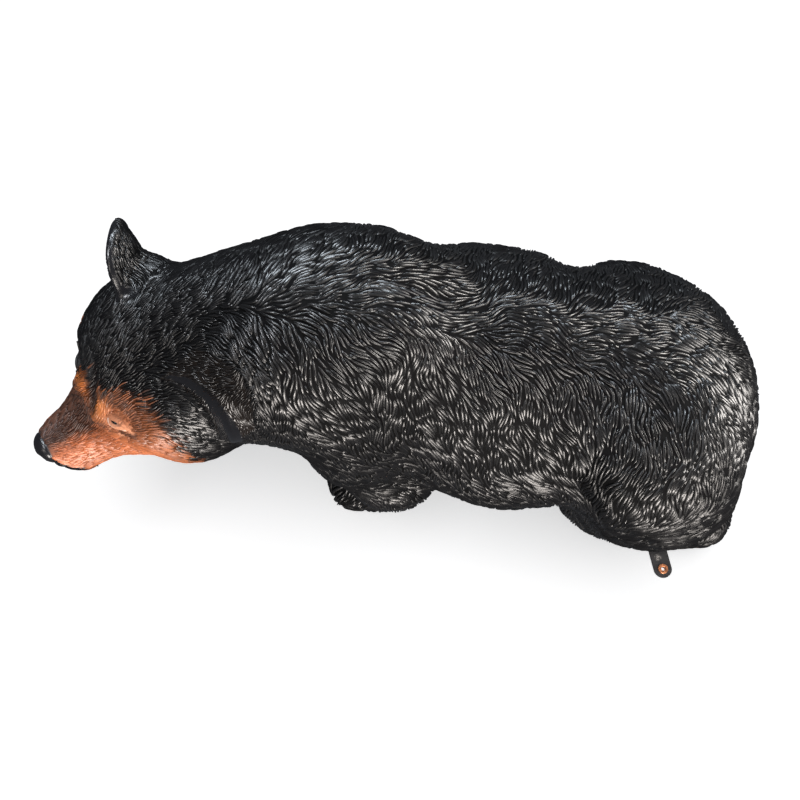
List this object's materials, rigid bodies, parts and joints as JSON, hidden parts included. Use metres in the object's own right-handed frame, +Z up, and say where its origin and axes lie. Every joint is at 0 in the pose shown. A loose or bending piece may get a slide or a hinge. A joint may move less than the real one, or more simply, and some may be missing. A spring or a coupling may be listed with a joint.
{
  "type": "bear garden statue",
  "caption": "Young black bear on all fours, head low and turned to its left, with carved fur and a fixing strap under one hind foot.",
  "frame": {"origin": "on the ground, under the middle of the whole piece's bounding box", "axes": "+Z up; the bear faces -X and its left side is -Y, so +X runs from its nose to its heels, along the longest side"},
  "size_m": [1.0454, 0.391, 0.6059],
  "materials": {
    "cast_fur": "semi-gloss black paint on cast resin, the muzzle shaded tan to orange",
    "tab_paint": "black painted steel strap, lightly scuffed",
    "eyelet_copper": "copper-coloured pressed eyelet"
  },
  "bodies": {
    "root": {"bear": "cast_fur", "ground_tab": "tab_paint", "tab_eyelet": "eyelet_copper"}
  },
  "joints": []
}
